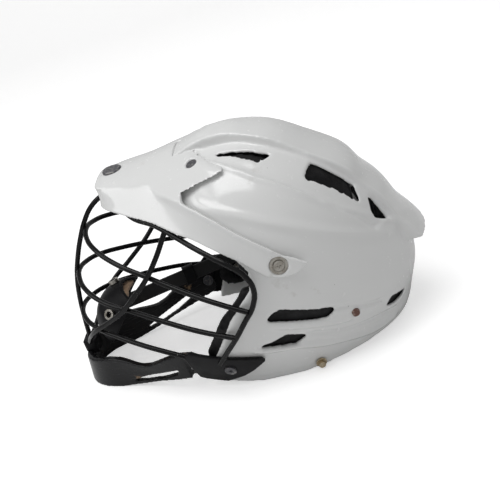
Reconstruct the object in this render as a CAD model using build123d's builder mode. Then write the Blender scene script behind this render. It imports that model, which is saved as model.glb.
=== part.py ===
from build123d import *
import os
from math import acos, atan2, cos, degrees, hypot, radians, sin, sqrt, tan

# Lacrosse helmet with a wire face mask, chin guard, visor, liner and chin strap.
# It rests on a floor at z = 0 and faces -Y; the wearer's left is +X. Lengths are millimetres,
# and the origin is the centre of the bounding box's bottom.

os.makedirs("parts", exist_ok=True)

# Overall sizes, which every outline and place below takes shares of
half_width = 106.0
half_length = 182.0
full_height = 219.0

# Shell
shell_wall = 3.6
channel_depth = 1.5
crest_rise = 7.5
overrun = 60.0
clearance = 0.3

# Visor
visor_wall = 3.0
visor_seat_depth = 1.2

# Face mask
wire_diameter = 4.8

# Chin guard and jaw brackets
guard_wall = 6.0
bracket_wall = 4.5

# Fasteners
screw_radius = 2.4
screw_hole_gap = 0.3
screw_head_radius = 4.6
screw_head_height = 2.4
drive_radius = 2.0
drive_depth = 1.3
washer_radius = 7.7
washer_height = 2.2
washer_cup_radius = 5.4
washer_cup_depth = 1.2
bracket_screw_head_radius = 5.4
screw_head_sink = 1.2
wing_screw_length = 14.0
bracket_screw_length = 14.0
arm_screw_length = 8.5
rivet_radius = 2.0
rivet_head_radius = 5.0
rivet_head_height = 1.8
tip_disc_radius = 9.0
tip_disc_height = 2.6
nut_radius = 7.0
nut_height = 2.0
nut_barrel_radius = 4.0
nut_barrel_length = 5.0
thread_gap = 0.05
pin_gap = 0.08
stud_radius = 2.2
stud_neck_length = 1.8
stud_base_radius = 5.0
stud_base_height = 1.2
stud_cap_radius = 3.0
stud_cap_height = 1.6

# Liner
pad_gap = 0.4
pad_depth = 12.0

# Nape cradle
cradle_wall = 3.0
cradle_reach = 30.0
rear_side_pad_depth = 5.0
cradle_tail = 10.0
cradle_height = 18.0
cradle_side_room = 7.4
cradle_pad_depth = 9.0
pin_head_radius = 4.0
pin_head_height = 2.0
pin_head_sink = 1.2
pin_flange_height = 1.0
spacer_radius = 5.0

# Chin strap
cup_radius = 36.0
cup_wall = 2.6
cup_half_height = 27.0
cup_rim_offset = 8.0
cup_corner = 18.0
lining_depth = 7.0
strap_width = 16.0
strap_wall = 2.0
strap_post_length = 16.0
strap_wrap_degrees = 36.0
strap_tab_length = 20.0
strap_tab_height = 17.6
slider_wall = 2.2
slider_length = 12.0
snap_radius = 5.2
snap_height = 3.2

dome_height = full_height - crest_rise
wire_radius = wire_diameter / 2

# The dome as level rings: height share of the dome, then half width, front and rear as shares
ring_shares = [
    (0.000, 0.792, -0.577, 0.791), (0.118, 0.858, -0.648, 0.863), (0.236, 0.934, -0.670, 0.909),
    (0.355, 0.981, -0.648, 0.912), (0.496, 1.000, -0.577, 0.863), (0.615, 0.976, -0.473, 0.808),
    (0.733, 0.906, -0.363, 0.714), (0.827, 0.802, -0.302, 0.610), (0.898, 0.670, -0.231, 0.495),
    (0.955, 0.491, -0.137, 0.374), (0.988, 0.283, -0.027, 0.264), (1.000, 0.075, 0.082, 0.176),
]

# The crest's own rings, in the same order, from its flared tail to its top
crest_ring_shares = [
    (0.352, 1.038, -0.429, 0.997), (0.384, 1.038, -0.429, 0.978), (0.420, 1.038, -0.429, 0.948),
    (0.461, 1.038, -0.429, 0.912), (0.511, 1.038, -0.429, 0.882), (0.594, 1.019, -0.412, 0.835),
    (0.708, 0.953, -0.379, 0.742), (0.799, 0.858, -0.330, 0.635), (0.868, 0.736, -0.264, 0.522),
    (0.932, 0.566, -0.170, 0.412), (0.968, 0.396, -0.077, 0.313), (0.991, 0.208, 0.011, 0.231),
    (1.000, 0.094, 0.066, 0.176),
]
ring_centre_share = 0.132


def spots(shares):
    """Points in space from shares of half width, half length and full height."""
    return [(x * half_width, y * half_length, z * full_height) for x, y, z in shares]


def side_points(shares):
    """Points of a side view, as (y, z)."""
    return [(y * half_length, z * full_height) for y, z in shares]


def plan_points(shares):
    """Points of a top view, as (x, y)."""
    return [(x * half_width, y * half_length) for x, y in shares]


def mirrored(points):
    """The same points on the wearer's other side."""
    return [(-point[0],) + tuple(point[1:]) for point in points]


def egg(rings, height, growth):
    """A closed egg form through level rings, grown evenly outwards."""
    centre = ring_centre_share * half_length
    with BuildPart() as form:
        for height_share, width_share, front_share, rear_share in rings:
            radius = width_share * half_width + growth
            front = centre - front_share * half_length + growth
            rear = rear_share * half_length - centre + growth
            if min(radius, front, rear) <= 0:
                continue
            with BuildSketch(Plane.XY.offset(height_share * (height + growth))):
                with BuildLine(Plane.XY):
                    EllipticalCenterArc((0, centre), radius, rear, start_angle=0, arc_size=180)
                    EllipticalCenterArc((0, centre), radius, front, start_angle=180, arc_size=180)
                make_face()
        loft()
    return form.part


def ring_value(height, column):
    """One column of the dome's rings at a height, on a smooth curve."""
    share = min(max(height / dome_height, 0), 1)
    upper = next(i for i, ring in enumerate(ring_shares) if ring[0] >= share and i > 0)
    known = [(ring[0], ring[column]) for ring in ring_shares]

    def slope(i):
        low, high = max(i - 1, 0), min(i + 1, len(known) - 1)
        return (known[high][1] - known[low][1]) / (known[high][0] - known[low][0])

    (z0, v0), (z1, v1) = known[upper - 1], known[upper]
    span = z1 - z0
    t = (share - z0) / span
    bend = (2 * t - 3) * t * t
    return (
        v0 * (1 + bend) - v1 * bend
        + slope(upper - 1) * span * t * (1 - t) ** 2
        - slope(upper) * span * t * t * (1 - t)
    )


def dome_x(y, z, growth=0.0):
    """Half width of the dome's outer face at a place of the side view."""
    centre = ring_centre_share * half_length
    radius = ring_value(z, 1) * half_width + growth
    if y < centre:
        reach = centre - ring_value(z, 2) * half_length + growth
    else:
        reach = ring_value(z, 3) * half_length - centre + growth
    return radius * sqrt(max(1 - ((y - centre) / reach) ** 2, 0))


def dome_plane(side, y, z, growth=0.0):
    """A plane on the dome's face, square to it and facing out."""
    step = dome_height / 100
    x = dome_x(y, z, growth)
    y_slope = (dome_x(y + step, z, growth) - dome_x(y - step, z, growth)) / (2 * step)
    z_slope = (dome_x(y, z + step, growth) - dome_x(y, z - step, growth)) / (2 * step)
    return Plane(origin=(side * x, y, z), z_dir=(side, -y_slope, -z_slope))


def side_prism(points, low=None, high=None):
    """A side outline carried across the helmet, or between two widths."""
    low = -2 * half_width if low is None else low
    high = 2 * half_width if high is None else high
    with BuildPart() as prism:
        with BuildSketch(Plane.YZ.offset(low)):
            with BuildLine():
                Polyline(*points, close=True)
            make_face()
        extrude(amount=high - low)
    return prism.part


def plan_prism(points, low, high):
    """A top outline carried upwards."""
    with BuildPart() as prism:
        with BuildSketch(Plane.XY.offset(low)):
            with BuildLine():
                Polyline(*points, close=True)
            make_face()
        extrude(amount=high - low)
    return prism.part


def plug(plane, radius, bottom, top):
    """A round plug from one height over a plane to another."""
    with BuildPart() as body:
        with BuildSketch(plane.offset(bottom)):
            Circle(radius)
        extrude(amount=top - bottom)
    return body.part


def layer(outer, inner):
    """The space between two growths of the dome."""
    with BuildPart() as skin:
        add(egg(ring_shares, dome_height, outer))
        add(egg(ring_shares, dome_height, inner), mode=Mode.SUBTRACT)
    return skin.part


def finish(part, name):
    """Label a piece and write it."""
    part.label = name
    export_step(part, f"parts/{name}.step")
    print(name, len(part.solids()), round(part.volume))


# Side outlines: y and z as shares of half length and full height
face_opening_shares = [
    (-1.374, 0.767), (-0.352, 0.767), (-0.220, 0.767), (-0.082, 0.744), (0.027, 0.694), (0.104, 0.635),
    (0.148, 0.575), (0.126, 0.498), (-0.011, 0.379), (-0.170, 0.178), (-0.242, 0.059), (-0.275, -0.091),
    (-1.374, -0.091),
]
bottom_rim_shares = [
    (-0.385, 0.064), (-0.220, 0.027), (-0.082, 0.007), (0.000, 0.000), (0.275, 0.000), (0.495, 0.014),
    (0.659, 0.023), (1.099, 0.027), (1.099, -0.091), (-0.385, -0.091),
]
side_vent_shares = [
    (0.148, 0.342), (0.192, 0.370), (0.231, 0.379), (0.478, 0.292), (0.429, 0.265), (0.379, 0.274),
    (0.165, 0.333),
]
low_vent_shares = [
    (0.038, 0.210), (0.148, 0.224), (0.214, 0.247), (0.313, 0.215), (0.269, 0.192), (0.242, 0.183),
]
rear_vent_shares = [
    (0.698, 0.155), (0.736, 0.187), (0.808, 0.160), (0.786, 0.137), (0.736, 0.137),
]
visor_outline_shares = [
    (-0.604, 0.826), (-0.511, 0.836), (-0.456, 0.833), (-0.412, 0.826), (-0.324, 0.808),
    (-0.247, 0.790), (-0.170, 0.767), (-0.082, 0.740), (-0.027, 0.717), (0.027, 0.689), (0.132, 0.626),
    (0.192, 0.573), (0.231, 0.543), (0.297, 0.525), (0.363, 0.525), (0.423, 0.548), (0.379, 0.580),
    (0.324, 0.612), (0.264, 0.658), (0.165, 0.726), (0.066, 0.795), (0.000, 0.831), (-0.066, 0.856),
    (-0.071, 0.886), (0.154, 0.922), (0.055, 0.950), (-0.044, 0.966), (-0.118, 0.970), (-0.118, 1.096),
    (-0.604, 1.096),
]
bracket_outline_shares = [
    (-0.324, 0.210), (-0.286, 0.233), (-0.220, 0.217), (-0.115, 0.192), (0.066, 0.160), (0.077, 0.142),
    (0.000, 0.091), (-0.060, 0.062), (-0.154, 0.037), (-0.264, 0.057), (-0.297, 0.068),
]

# Top outlines: x and y as shares of half width and half length
crest_outline_shares = [
    (0.151, -0.118), (0.142, 0.027), (0.170, 0.159), (0.226, 0.286), (0.264, 0.401), (0.292, 0.522),
    (0.302, 0.687), (0.292, 0.824), (0.302, 1.099),
]
front_vent_shares = [
    (0.292, 0.066), (0.321, 0.220), (0.340, 0.368), (0.443, 0.302),
]
crown_vent_shares = [
    (0.325, 0.527), (0.321, 0.615), (0.321, 0.698), (0.443, 0.703), (0.509, 0.489),
]
channel_shares = [
    (0.292, 0.000), (0.396, 0.077), (0.528, 0.187), (0.613, 0.291), (0.642, 0.396), (0.651, 0.495),
    (0.632, 0.599), (0.594, 0.665), (0.538, 0.736), (0.462, 0.808), (0.283, 0.885),
]

# Rear vents beside the crest: x and z as shares
tail_vent_shares = [
    (0.311, 0.607), (0.311, 0.475), (0.443, 0.539),
]


def crest_prism(inset, low=0.0):
    """The crest's top outline, drawn in by an inset, from a height upwards."""
    points = plan_points(crest_outline_shares)
    right = [(x - inset, y) for x, y in points]
    right[0] = (points[0][0] - inset, points[0][1] + inset)
    left = mirrored(right)
    return plan_prism(right + left[::-1], low, full_height + overrun)


def cut_from(body, *tools):
    """A body with tools cut away."""
    with BuildPart() as result:
        add(body)
        for tool in tools:
            add(tool, mode=Mode.SUBTRACT)
    return result.part


def common(body, *others):
    """What a body shares with every other one."""
    with BuildPart() as result:
        add(body)
        for other in others:
            add(other, mode=Mode.INTERSECT)
    return result.part


def rear_prism(points):
    """A rear outline carried forwards into the back half."""
    with BuildPart() as prism:
        with BuildSketch(Plane.XZ.offset(-half_length - overrun)):
            with BuildLine():
                Polyline(*points, close=True)
            make_face()
        extrude(amount=half_length)
    return prism.part


def make_outer_shell():
    """One-piece shell: dome, raised crest, vent channels, openings and fixing holes."""
    foot = plan_points(crest_outline_shares)[1:-2]
    channel = plan_points(channel_shares) + foot[::-1]
    channel_floor = egg(ring_shares, dome_height, -channel_depth)
    cuts = [
        cut_from(plan_prism(outline, full_height / 2, full_height + overrun), channel_floor)
        for outline in (channel, mirrored(channel))
    ]
    crest = common(egg(crest_ring_shares, full_height, 0), crest_prism(0))
    cuts += [side_prism(side_points(shares)) for shares in
             (face_opening_shares, bottom_rim_shares, side_vent_shares, low_vent_shares, rear_vent_shares)]
    for shares in (front_vent_shares, crown_vent_shares):
        points = plan_points(shares)
        for outline in (points, mirrored(points)):
            cuts.append(plan_prism(outline, full_height / 2, full_height + overrun))
    tail = [(x * half_width, z * full_height) for x, z in tail_vent_shares]
    cuts += [rear_prism(outline) for outline in (tail, mirrored(tail))]
    tail_floor = crest_ring_shares[0][0] * full_height + shell_wall
    crest_hollow = common(egg(crest_ring_shares, full_height, -shell_wall), crest_prism(shell_wall, tail_floor))
    with BuildPart() as shell:
        add(egg_dome)
        for cut in cuts[:2]:
            add(cut, mode=Mode.SUBTRACT)
        add(crest)
        add(crest_hollow, mode=Mode.SUBTRACT)
        add(egg_inside, mode=Mode.SUBTRACT)
        for cut in cuts[2:] + fixing_holes:
            add(cut, mode=Mode.SUBTRACT)
    return shell.part


def spot_plane(side, shares, growth=0.0):
    """A plane on the dome, facing out, at a side-view place."""
    y, z = side_points([shares])[0]
    return dome_plane(side, y, z, growth)


# Places of the fasteners in the side view
wing_screw_shares = (0.291, 0.575)
plate_rivet_shares = (-0.005, 0.937)
bracket_screw_shares = (-0.110, 0.119)
arm_screw_shares = (-0.291, 0.137)
cradle_pin_shares = (0.555, 0.228)
stud_shares = (0.324, 0.027)
strap_pin_shares = (-0.022, 0.228)
tip_disc_shares = (-0.451, 0.937)

sides = (1, -1)
wing_seats = [spot_plane(side, wing_screw_shares, clearance + visor_wall - visor_seat_depth) for side in sides]
plate_seats = [spot_plane(side, plate_rivet_shares, clearance + visor_wall) for side in sides]
bracket_seats = [spot_plane(side, bracket_screw_shares, clearance + bracket_wall - screw_head_sink) for side in sides]
arm_seats = [spot_plane(side, arm_screw_shares, -guard_wall) for side in sides]
stud_seats = [spot_plane(side, stud_shares, clearance) for side in sides]
hole_reach = 30.0


def hole(plane, radius, depth=hole_reach):
    """A round hole running inwards from a seat."""
    return plug(plane, radius, -depth, depth)


def seat(plane, radius):
    """Room for a head above its seat."""
    return plug(plane, radius, 0, hole_reach)


def x_rod(radius, side, near, far, shares):
    """A round bar across the helmet at a side-view place, between two half widths."""
    y, z = side_points([shares])[0]
    with BuildPart() as rod:
        with BuildSketch(Plane(origin=(side * near, y, z), z_dir=(side, 0, 0))):
            Circle(radius)
        extrude(amount=far - near)
    return rod.part


cradle_y, cradle_z = side_points([cradle_pin_shares])[0]
cradle_inner_wall = dome_x(cradle_y, cradle_z, -shell_wall)
cradle_half_width = cradle_inner_wall - cradle_side_room
cradle_head_x = dome_x(cradle_y, cradle_z) - pin_head_sink
strap_y, strap_z = side_points([strap_pin_shares])[0]
strap_inner_wall = dome_x(strap_y, strap_z, -shell_wall)

fixing_holes = [hole(plane, screw_radius + screw_hole_gap) for plane in wing_seats + bracket_seats]
fixing_holes += [hole(plane, rivet_radius + screw_hole_gap) for plane in plate_seats + stud_seats]
for side in sides:
    fixing_holes += [
        x_rod(rivet_radius + thread_gap, side, cradle_half_width, half_width, cradle_pin_shares),
        x_rod(pin_head_radius + clearance, side, cradle_head_x, half_width, cradle_pin_shares),
    ]

egg_dome = egg(ring_shares, dome_height, 0)
egg_inside = egg(ring_shares, dome_height, -shell_wall)
egg_seat = egg(ring_shares, dome_height, clearance)

outer_shell = make_outer_shell()
finish(outer_shell, "outer_shell")

# Visor stations from the tip back: y; top, ridge and lower edge of each cross section
station_shares = [
    (-0.538, 0.927, 0.151, 0.922, 0.189, 0.840), (-0.505, 0.936, 0.245, 0.922, 0.302, 0.840),
    (-0.440, 0.942, 0.292, 0.927, 0.415, 0.836), (-0.341, 0.947, 0.321, 0.922, 0.528, 0.813),
    (-0.231, 0.957, 0.434, 0.893, 0.660, 0.781), (-0.077, 0.966, 0.698, 0.863, 0.840, 0.740),
    (0.066, 0.968, 0.887, 0.804, 0.962, 0.671), (0.165, 0.963, 0.962, 0.733, 1.012, 0.607),
    (0.264, 0.954, 0.995, 0.667, 1.019, 0.543), (0.341, 0.941, 0.995, 0.612, 1.009, 0.511),
    (0.451, 0.913, 0.962, 0.543, 0.953, 0.479),
]
visor_base_share = 0.411


def visor_plug(inset):
    """The space under the visor's skin, a loft along the helmet, drawn in by an inset."""
    base = visor_base_share * full_height
    with BuildPart() as form:
        for i, (y, top, ridge_x, ridge_z, edge_x, edge_z) in enumerate(station_shares):
            place = y * half_length + (inset if i == 0 else 0)
            edge = edge_x * half_width - inset
            ridge = ridge_x * half_width - inset
            shoulder = ridge_z * full_height - inset
            crown = top * full_height - inset
            low = edge_z * full_height
            with BuildSketch(Plane(origin=(0, place, 0), x_dir=(1, 0, 0), z_dir=(0, -1, 0))):
                with BuildLine():
                    ThreePointArc((ridge, shoulder), (0, crown), (-ridge, shoulder))
                    Polyline(
                        (-ridge, shoulder), (-edge, low), (-edge, base), (edge, base), (edge, low), (ridge, shoulder),
                    )
                make_face()
        loft()
    return form.part


def make_visor():
    """Brim with side wings: a drawn-in loft that lies on the dome behind its front edge."""
    tip_y, tip_z = side_points([tip_disc_shares])[0]
    tip_plane = Plane.XY.offset(tip_z)
    with BuildPart() as notch:
        with Locations((0, -half_length / 2, tip_z - tip_disc_radius * 2)):
            Box(wire_diameter * 2, half_length / 6, tip_disc_radius * 2)
    with BuildPart() as skin:
        add(visor_plug(0))
        add(egg(ring_shares, dome_height, clearance + visor_wall))
        add(visor_plug(visor_wall), mode=Mode.SUBTRACT)
        add(egg_seat, mode=Mode.SUBTRACT)
        add(side_prism(side_points(visor_outline_shares)), mode=Mode.INTERSECT)
        add(crest_prism(-clearance), mode=Mode.SUBTRACT)
        add(notch.part, mode=Mode.SUBTRACT)
        for plane in wing_seats:
            add(seat(plane, washer_radius + clearance), mode=Mode.SUBTRACT)
            add(hole(plane, screw_radius + screw_hole_gap), mode=Mode.SUBTRACT)
        for plane in plate_seats:
            add(seat(plane, rivet_head_radius + clearance), mode=Mode.SUBTRACT)
            add(hole(plane, rivet_radius + screw_hole_gap), mode=Mode.SUBTRACT)
        with BuildSketch(tip_plane):
            with Locations((0, tip_y)):
                Circle(tip_disc_radius + clearance)
        extrude(amount=overrun, mode=Mode.SUBTRACT)
        with BuildSketch(tip_plane):
            with Locations((0, tip_y)):
                Circle(screw_radius + screw_hole_gap)
        extrude(amount=-tip_disc_radius, mode=Mode.SUBTRACT)
    return skin.part


visor = make_visor()
finish(visor, "visor")

# Mask wires, each a list of points from the centre out
perimeter_shares = [
    (0.000, -0.462, 0.868), (0.226, -0.442, 0.854), (0.415, -0.374, 0.801), (0.566, -0.253, 0.769),
    (0.736, -0.143, 0.731), (0.849, -0.077, 0.708), (0.962, 0.016, 0.664), (1.014, 0.077, 0.632),
    (1.038, 0.132, 0.584), (1.047, 0.154, 0.521), (1.045, 0.126, 0.447), (1.036, 0.060, 0.379),
    (1.011, -0.005, 0.311), (0.967, -0.066, 0.251), (0.896, -0.146, 0.169),
]
centre_bar_shares = [
    (0.000, -0.451, 0.879), (0.000, -0.549, 0.845), (0.000, -0.626, 0.808), (0.000, -0.690, 0.753),
    (0.000, -0.753, 0.676), (0.000, -0.810, 0.589), (0.000, -0.857, 0.502), (0.000, -0.896, 0.393),
    (0.000, -0.920, 0.283), (0.000, -0.940, 0.174),
]
side_bar_shares = [
    (0.000, -0.934, 0.174), (0.142, -0.912, 0.196), (0.292, -0.857, 0.260), (0.425, -0.786, 0.322),
    (0.538, -0.665, 0.384), (0.627, -0.549, 0.447), (0.675, -0.462, 0.511), (0.698, -0.374, 0.575),
    (0.689, -0.286, 0.658), (0.642, -0.203, 0.751),
]
upper_crossbar_shares = [
    (0.000, -0.698, 0.717), (0.170, -0.681, 0.705), (0.340, -0.626, 0.680), (0.509, -0.522, 0.637),
    (0.660, -0.363, 0.575), (0.821, -0.187, 0.509), (0.962, -0.027, 0.461), (1.053, 0.096, 0.425),
]
middle_crossbar_shares = [
    (0.000, -0.825, 0.534), (0.170, -0.808, 0.525), (0.330, -0.761, 0.505), (0.491, -0.665, 0.470),
    (0.623, -0.516, 0.432), (0.755, -0.352, 0.384), (0.877, -0.192, 0.342), (1.012, -0.008, 0.311),
]
lower_crossbar_shares = [
    (0.000, -0.891, 0.352), (0.208, -0.860, 0.342), (0.396, -0.769, 0.324), (0.538, -0.648, 0.297),
    (0.660, -0.516, 0.265), (0.745, -0.401, 0.235), (0.792, -0.313, 0.208),
]


bend_share = 0.45


def bend_radii(points):
    """The tangent arc that each corner's two runs allow, a little under the largest."""
    radii = []
    for before, corner, after in zip(points, points[1:], points[2:]):
        one, two = Vector(*corner) - Vector(*before), Vector(*after) - Vector(*corner)
        radii.append(bend_share * min(one.length, two.length) / tan(radians(one.get_angle(two)) / 2))
    return radii


def wire(points, radius=wire_radius):
    """A round wire along straight runs joined by tangent arcs."""
    with BuildPart() as rod:
        with BuildLine() as path:
            FilletPolyline(*points, radius=bend_radii(points))
        with BuildSketch(Plane(origin=points[0], z_dir=path.line % 0)):
            Circle(radius)
        sweep(path=path.line)
    return rod.part


def both_sides(shares):
    """A centre-to-end list of points carried on to the other side."""
    points = spots(shares)
    return mirrored(points[:0:-1]) + points


finish(wire(both_sides(perimeter_shares)), "mask_perimeter_wire")
finish(wire(spots(centre_bar_shares)), "mask_centre_bar")
finish(wire(both_sides(side_bar_shares)), "mask_side_bars")
finish(wire(both_sides(upper_crossbar_shares)), "mask_upper_crossbar")
finish(wire(both_sides(middle_crossbar_shares)), "mask_middle_crossbar")
finish(wire(both_sides(lower_crossbar_shares)), "mask_lower_crossbar")


# Chin guard: outlines of its foot and of its top, and its side view
guard_foot_shares = [
    (0.000, -0.997), (0.132, -0.986), (0.245, -0.948), (0.330, -0.885), (0.387, -0.802),
    (0.434, -0.714), (0.519, -0.577), (0.585, -0.478), (0.642, -0.385), (0.689, -0.297),
    (0.708, -0.253),
]
guard_top_shares = [
    (0.000, -0.956), (0.132, -0.945), (0.255, -0.907), (0.349, -0.841), (0.425, -0.747),
    (0.491, -0.670), (0.585, -0.560), (0.670, -0.467), (0.736, -0.374), (0.774, -0.297),
    (0.792, -0.253),
]
guard_height_share = 0.237
guard_side_shares = [
    (-1.044, 0.114), (-0.978, 0.123), (-0.918, 0.137), (-0.813, 0.155), (-0.703, 0.164),
    (-0.615, 0.164), (-0.549, 0.169), (-0.478, 0.178), (-0.357, 0.201), (-0.286, 0.201),
    (-0.258, 0.183), (-0.258, 0.078), (-0.313, 0.064), (-0.412, 0.050), (-0.522, 0.037),
    (-0.632, 0.018), (-0.769, 0.000), (-1.044, 0.000),
]
guard_window_shares = [
    (-0.720, 0.027), (-0.615, 0.062), (-0.451, 0.100), (-0.396, 0.110), (-0.418, 0.080),
    (-0.505, 0.053), (-0.615, 0.034),
]
guard_step_share = -0.341


def drawn_in(points, inset):
    """An open outline moved towards the middle, its ends sideways."""
    moved = []
    for i, (x, y) in enumerate(points):
        before, after = points[max(i - 1, 0)], points[min(i + 1, len(points) - 1)]
        along = (Vector(after[0] - before[0], after[1] - before[1])).normalized()
        if i in (0, len(points) - 1):
            along = Vector(0, 1 if x > 0 else -1)
        moved.append((x - along.Y * inset, y + along.X * inset))
    return moved


def guard_form(inset):
    """The U-shaped space inside an inset of the chin guard's outer face."""
    with BuildPart() as form:
        for shares, height in ((guard_foot_shares, 0), (guard_top_shares, guard_height_share * full_height)):
            points = plan_points(shares)
            outline = drawn_in(mirrored(points[:0:-1]) + points, inset)
            with BuildSketch(Plane.XY.offset(height)):
                with BuildLine():
                    Spline(*outline)
                    Line(outline[-1], outline[0])
                make_face()
        loft()
    return form.part


def make_chin_guard():
    """Moulded chin guard with a window in each arm and a step behind each bracket."""
    bracket_zone = layer(hole_reach, 0)
    step = -guard_step_share * half_length
    with BuildPart() as guard:
        add(guard_form(0))
        add(guard_form(guard_wall), mode=Mode.SUBTRACT)
        add(side_prism(side_points(guard_side_shares)), mode=Mode.INTERSECT)
        add(side_prism(side_points(guard_window_shares)), mode=Mode.SUBTRACT)
        add(common(bracket_zone, rear_half(-step)), mode=Mode.SUBTRACT)
        for plane in arm_seats:
            add(plug(plane, screw_radius + thread_gap, -hole_reach, hole_reach), mode=Mode.SUBTRACT)
            add(plug(plane, bracket_screw_head_radius + clearance, -hole_reach, 0), mode=Mode.SUBTRACT)
    return guard.part


def rear_half(front):
    """All the space behind a place along the helmet."""
    with BuildPart() as space:
        with BuildSketch(Plane.XZ.offset(-front - 2 * half_length)):
            Rectangle(3 * half_width, 3 * full_height)
        extrude(amount=2 * half_length)
    return space.part


finish(make_chin_guard(), "chin_guard")


def make_bracket(side):
    """Curved plate on the shell's jaw that also covers the chin guard's arm."""
    low, high = (0, 2 * half_width) if side > 0 else (-2 * half_width, 0)
    i = sides.index(side)
    with BuildPart() as plate:
        add(bracket_skin)
        add(side_prism(side_points(bracket_outline_shares), low, high), mode=Mode.INTERSECT)
        add(seat(bracket_seats[i], bracket_screw_head_radius + clearance), mode=Mode.SUBTRACT)
        add(hole(bracket_seats[i], screw_radius + screw_hole_gap), mode=Mode.SUBTRACT)
        arm_hole = plug(arm_seats[i], screw_radius + thread_gap, -hole_reach, arm_screw_length + thread_gap)
        add(arm_hole, mode=Mode.SUBTRACT)
    return plate.part


bracket_skin = layer(clearance + bracket_wall, clearance)
finish(make_bracket(1), "jaw_bracket_left")
finish(make_bracket(-1), "jaw_bracket_right")

# Screws, washers, nuts and rivets


def screws(planes, head_radius, length, head_height=screw_head_height, cross=True):
    """A group of cross-headed screws whose heads sit on planes."""
    with BuildPart() as group:
        for plane in planes:
            with BuildSketch(plane):
                Circle(head_radius)
            extrude(amount=head_height)
            with BuildSketch(plane):
                Circle(screw_radius)
            extrude(amount=-length)
        if cross:
            for plane in planes:
                with BuildSketch(plane.offset(head_height)):
                    Rectangle(2 * drive_radius, drive_radius / 2)
                    Rectangle(drive_radius / 2, 2 * drive_radius)
                extrude(amount=-drive_depth, mode=Mode.SUBTRACT)
    return group.part


def rings(planes, outer, bore, height):
    """A group of plain rings standing on planes."""
    with BuildPart() as group:
        for plane in planes:
            with BuildSketch(plane):
                Circle(outer)
                Circle(bore, mode=Mode.SUBTRACT)
            extrude(amount=height)
    return group.part


def washers(planes):
    """Cup washers with a recess for the screw's head."""
    with BuildPart() as group:
        add(rings(planes, washer_radius, screw_radius + screw_hole_gap, washer_height))
        for plane in planes:
            with BuildSketch(plane.offset(washer_height)):
                Circle(washer_cup_radius)
            extrude(amount=-washer_cup_depth, mode=Mode.SUBTRACT)
    return group.part


finish(washers(wing_seats), "visor_cup_washers")
cup_floor = washer_height - washer_cup_depth
wing_screw_seats = [plane.offset(cup_floor) for plane in wing_seats]
finish(screws(wing_screw_seats, screw_head_radius, wing_screw_length), "visor_wing_screws")
finish(screws(bracket_seats, bracket_screw_head_radius, bracket_screw_length), "jaw_bracket_screws")


def flipped(plane):
    """The same plane facing the other way."""
    return Plane(origin=plane.origin, x_dir=plane.x_dir, z_dir=-plane.z_dir)


arm_screw_seats = [flipped(plane) for plane in arm_seats]
finish(screws(arm_screw_seats, bracket_screw_head_radius, arm_screw_length), "chin_guard_screws")


def make_nuts():
    """Flanged nuts behind the shell, one for each screw."""
    with BuildPart() as group:
        for plane in nut_seats:
            with BuildSketch(flipped(plane)):
                Circle(nut_radius)
            extrude(amount=nut_height)
            with BuildSketch(flipped(plane)):
                Circle(nut_barrel_radius)
            extrude(amount=nut_barrel_length)
            with BuildSketch(flipped(plane)):
                Circle(screw_radius + thread_gap)
            extrude(amount=nut_barrel_length, mode=Mode.SUBTRACT)
    return group.part


wing_drop = visor_wall - visor_seat_depth + shell_wall + 4 * clearance
bracket_drop = bracket_wall - screw_head_sink + shell_wall + 4 * clearance
nut_seats = [plane.offset(-wing_drop) for plane in wing_seats]
nut_seats += [plane.offset(-bracket_drop) for plane in bracket_seats]
finish(make_nuts(), "shell_nuts")


def make_plate_rivets():
    """Dark rivets that hold the visor's top plate to the dome."""
    with BuildPart() as group:
        for plane in plate_seats:
            with BuildSketch(plane):
                Circle(rivet_head_radius)
            extrude(amount=rivet_head_height)
            with BuildSketch(plane):
                Circle(rivet_radius)
            extrude(amount=-(visor_wall + clearance + shell_wall))
    return group.part


finish(make_plate_rivets(), "visor_plate_rivets")

# Visor tip: a disc above, and below it the clip that holds the mask
tip_y, tip_z = side_points([tip_disc_shares])[0]
clip_top_share = 0.922
clip_foot_share = 0.847
clip_front_share = -0.492
clip_rear_share = -0.401
clip_half_width = 10.0


def make_tip_disc():
    """Broad screw in the visor's tip."""
    with BuildPart() as disc:
        with BuildSketch(Plane.XY.offset(tip_z)):
            with Locations((0, tip_y)):
                Circle(tip_disc_radius)
        extrude(amount=tip_disc_height)
        with BuildSketch(Plane.XY.offset(tip_z)):
            with Locations((0, tip_y)):
                Circle(screw_radius)
        extrude(amount=-tip_disc_radius)
        edge = disc.faces().sort_by(Axis.Z)[-1].edges()
        chamfer(edge, tip_disc_height / 3)
    return disc.part


def make_tip_clip():
    """Block under the visor's tip that clamps the tops of the mask wires."""
    top, foot = clip_top_share * full_height, clip_foot_share * full_height
    front, rear = clip_front_share * half_length, clip_rear_share * half_length
    with BuildPart() as clip:
        with BuildSketch(Plane.XY.offset(foot)):
            with Locations((0, (front + rear) / 2)):
                RectangleRounded(2 * clip_half_width, rear - front, wire_radius)
        extrude(amount=top - foot)
        with BuildSketch(Plane.XY.offset(top)):
            with Locations((0, tip_y)):
                Circle(screw_radius + thread_gap)
        extrude(amount=foot - top, mode=Mode.SUBTRACT)
    return clip.part


finish(make_tip_disc(), "visor_tip_disc")
finish(make_tip_clip(), "visor_tip_clip")

# Clip at the chin, where the centre bar and the side bars meet the guard
chin_clip_half_width = 9.0
chin_clip_front_share = -0.973
chin_clip_rear_share = -0.896
chin_clip_foot_share = 0.114
chin_clip_top_share = 0.183


def make_chin_clip():
    """Block on the chin guard that clamps the feet of the mask wires."""
    foot, top = chin_clip_foot_share * full_height, chin_clip_top_share * full_height
    front, rear = chin_clip_front_share * half_length, chin_clip_rear_share * half_length
    with BuildPart() as clip:
        with BuildSketch(Plane.XY.offset(foot)):
            with Locations((0, (front + rear) / 2)):
                RectangleRounded(2 * chin_clip_half_width, rear - front, wire_radius)
        extrude(amount=top - foot)
        add(guard_solid, mode=Mode.SUBTRACT)
    return clip.part


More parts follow.
